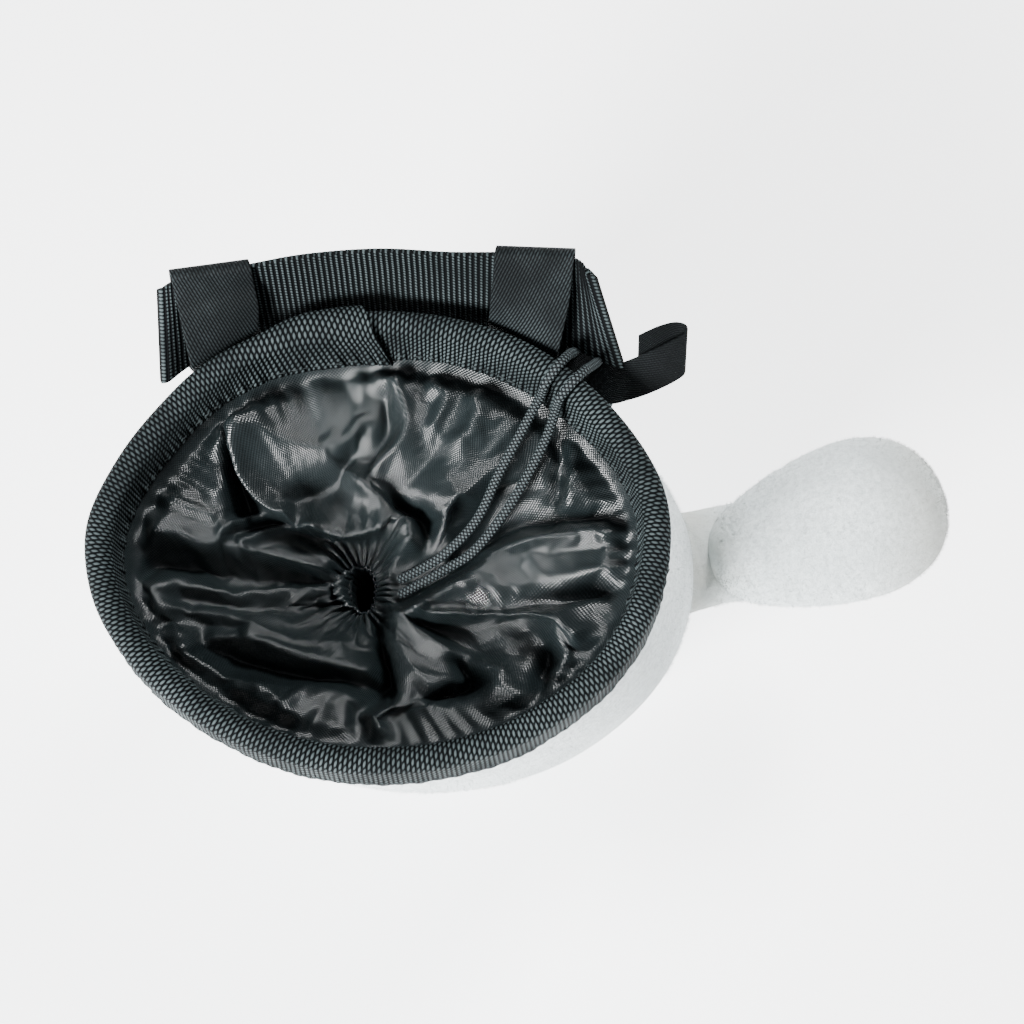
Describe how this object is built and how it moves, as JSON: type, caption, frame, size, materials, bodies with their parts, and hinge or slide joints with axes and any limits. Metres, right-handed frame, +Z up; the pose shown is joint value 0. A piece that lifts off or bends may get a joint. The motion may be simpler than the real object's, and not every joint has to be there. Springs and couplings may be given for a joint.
{
  "type": "climbing chalk bag",
  "caption": "Plush soft bag with a webbing-bound oval mouth, a collar gathered shut by a doubled cord, a belt band in strap loops and a stuffed limb at the side.",
  "frame": {"origin": "on the flat base, straight under the middle of the mouth", "axes": "+X to the stuffed limb, +Y to the bag's back with the band, +Z up out of the mouth"},
  "size_m": [0.2276, 0.1338, 0.1592],
  "materials": {
    "white_plush": "matte short pile",
    "ribbed_webbing": "coarse ribbed weave",
    "fine_webbing": "fine twill weave",
    "black_nylon": "satin",
    "black_cord": "braided"
  },
  "bodies": {
    "root": {"body_shell": "white_plush", "stuffed_limb": "white_plush", "rim_binding": "ribbed_webbing", "closure_collar": "black_nylon", "collar_hem": "black_nylon", "drawcord_left": "black_cord", "drawcord_right": "black_cord", "drawcord_knot": "black_cord", "back_band": "ribbed_webbing", "strap_loop_left": "fine_webbing", "strap_loop_right": "fine_webbing", "curled_tape": "fine_webbing"}
  },
  "joints": []
}
